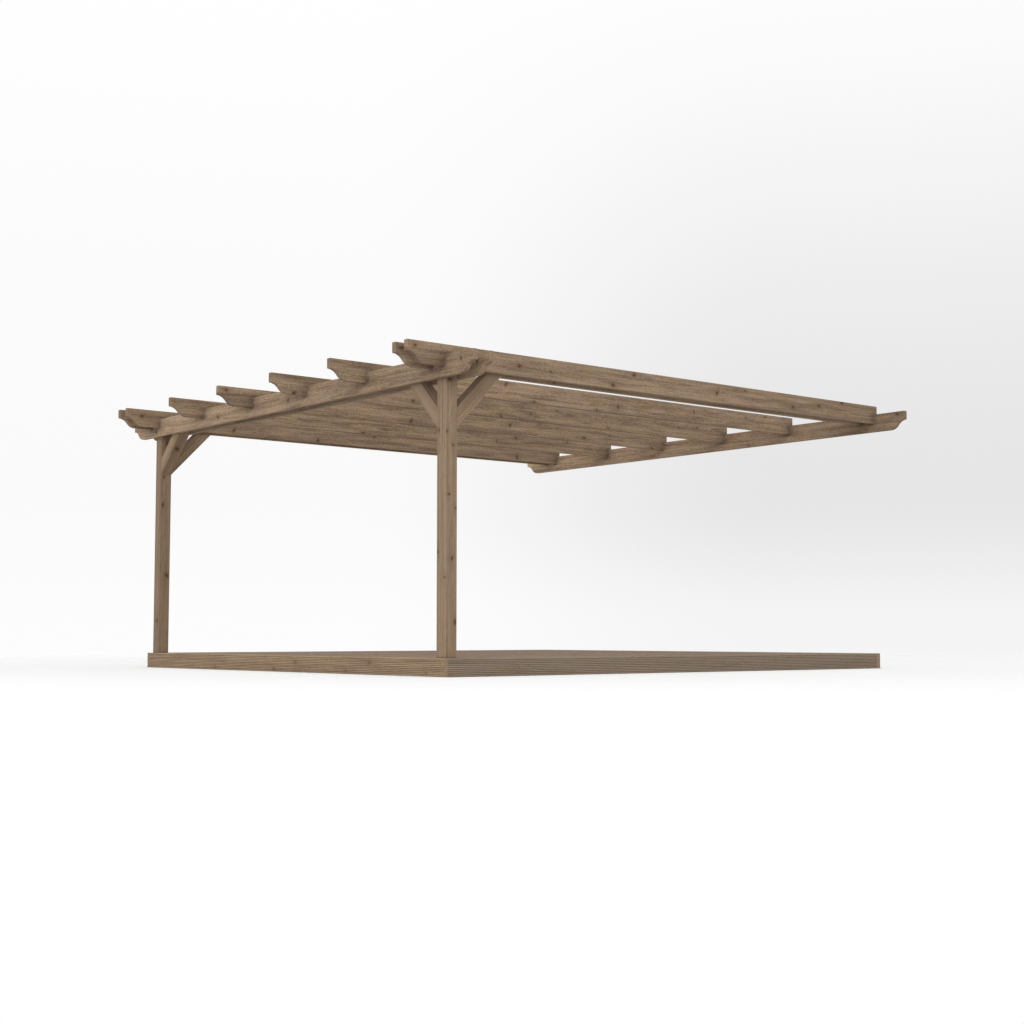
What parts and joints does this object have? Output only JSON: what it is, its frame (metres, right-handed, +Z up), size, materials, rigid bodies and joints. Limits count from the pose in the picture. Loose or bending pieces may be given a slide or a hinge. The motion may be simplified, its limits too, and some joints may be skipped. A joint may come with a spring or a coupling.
{
  "type": "wall-mounted wooden pergola on a low timber deck",
  "caption": "Flat open timber roof of notched rafters with ogee ends on doubled front beams, two braced posts and a wall beam, standing on a low boarded deck.",
  "frame": {"origin": "on the ground, under the middle of the whole outline", "axes": "+Z up; -Y is the front with the two posts; +Y is the wall side; +X is to the right seen from the front"},
  "size_m": [4.78, 4.788, 2.163],
  "materials": {
    "post_wood": "brown stained softwood, matt, with grain and knots",
    "beam_wood": "brown stained softwood, matt, with grain and knots",
    "fascia_wood": "brown stained softwood, matt, with grain and knots",
    "deck_board_wood": "brown stained softwood, matt, with grain and knots",
    "joist_wood": "brown stained softwood, matt, with grain and knots"
  },
  "bodies": {
    "root": {"deck_back_fascia": "fascia_wood", "deck_boards": "deck_board_wood", "deck_front_fascia": "fascia_wood", "deck_joist_1": "joist_wood", "deck_joist_2": "joist_wood", "deck_joist_3": "joist_wood", "deck_joist_4": "joist_wood", "deck_joist_5": "joist_wood", "deck_joist_6": "joist_wood", "deck_joist_7": "joist_wood", "deck_joist_8": "joist_wood", "deck_joist_9": "joist_wood", "deck_left_fascia": "fascia_wood", "deck_right_fascia": "fascia_wood", "front_beam_inner": "beam_wood", "front_beam_outer": "beam_wood", "left_beam_brace": "post_wood", "left_post": "post_wood", "left_rafter_brace": "post_wood", "left_rafter_inner": "beam_wood", "left_rafter_outer": "beam_wood", "rafter_1": "beam_wood", "rafter_2": "beam_wood", "rafter_3": "beam_wood", "rafter_4": "beam_wood", "right_beam_brace": "post_wood", "right_post": "post_wood", "right_rafter_brace": "post_wood", "right_rafter_inner": "beam_wood", "right_rafter_outer": "beam_wood", "wall_beam": "beam_wood"}
  },
  "joints": []
}
